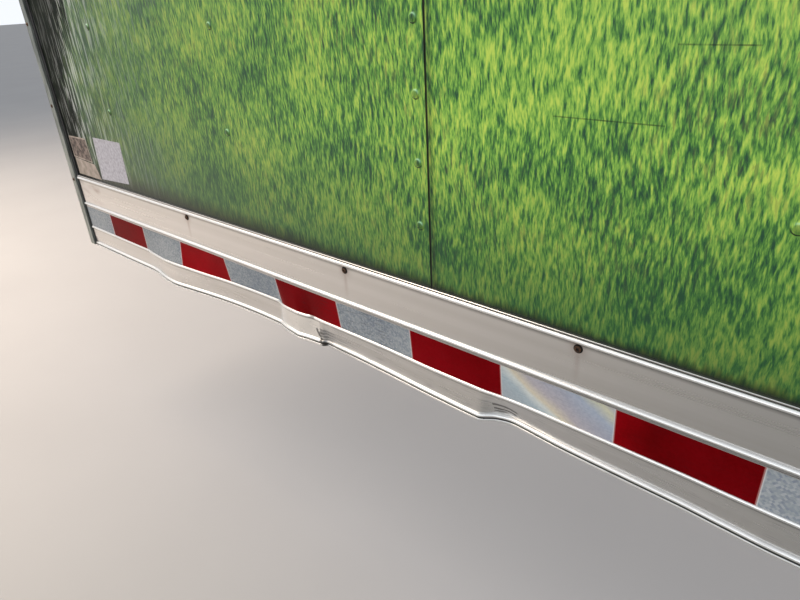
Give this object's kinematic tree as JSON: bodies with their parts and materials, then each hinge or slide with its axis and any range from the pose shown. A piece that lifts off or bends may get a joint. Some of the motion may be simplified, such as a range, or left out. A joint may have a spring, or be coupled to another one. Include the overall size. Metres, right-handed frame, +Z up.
{
  "type": "enclosed cargo trailer side wall",
  "caption": "Left side wall of an enclosed cargo trailer: printed skin sheets on a steel tube frame, with a dented extruded bottom rail, reflective tape and corner trim.",
  "frame": {"origin": "underside of the sill tube, halfway along it and at the middle of its width, where the wall stands on the floor frame", "axes": "+X towards the rear of the trailer, +Y into the cargo space, +Z up"},
  "size_m": [4.267, 0.074, 2.1399],
  "materials": {
    "printed_skin": "aluminium sheet under a glossy printed vinyl wrap",
    "extruded_aluminium": "mill finish extrusion, satin, dented",
    "corner_aluminium": "weathered satin",
    "red_tape": "prismatic reflective film",
    "white_tape": "prismatic reflective film",
    "primed_steel": "black paint on steel tube",
    "black_sealant": "weathered sealant",
    "plywood": "bare plywood",
    "amber_lens": "moulded lens",
    "red_lens": "moulded lens"
  },
  "bodies": {
    "root": {"bottom_rail": "extruded_aluminium", "front_corner_seal": "black_sealant", "front_corner_trim": "corner_aluminium", "front_end_post": "primed_steel", "lining_panel_1": "plywood", "lining_panel_2": "plywood", "lining_panel_3": "plywood", "lining_panel_4": "plywood", "marker_lamp_front": "amber_lens", "marker_lamp_rear": "red_lens", "rear_corner_seal": "black_sealant", "rear_corner_trim": "corner_aluminium", "rear_end_post": "primed_steel", "side_post_01": "primed_steel", "side_post_02": "primed_steel", "side_post_03": "primed_steel", "side_post_04": "primed_steel", "side_post_05": "primed_steel", "side_post_06": "primed_steel", "side_post_07": "primed_steel", "side_post_08": "primed_steel", "side_post_09": "primed_steel", "side_post_10": "primed_steel", "sill_tube": "primed_steel", "skin_sheet_1": "printed_skin", "skin_sheet_2": "printed_skin", "skin_sheet_3": "printed_skin", "skin_sheet_4": "printed_skin", "tape_red": "red_tape", "tape_white": "white_tape", "top_rail": "extruded_aluminium", "top_tube": "primed_steel"}
  },
  "joints": []
}
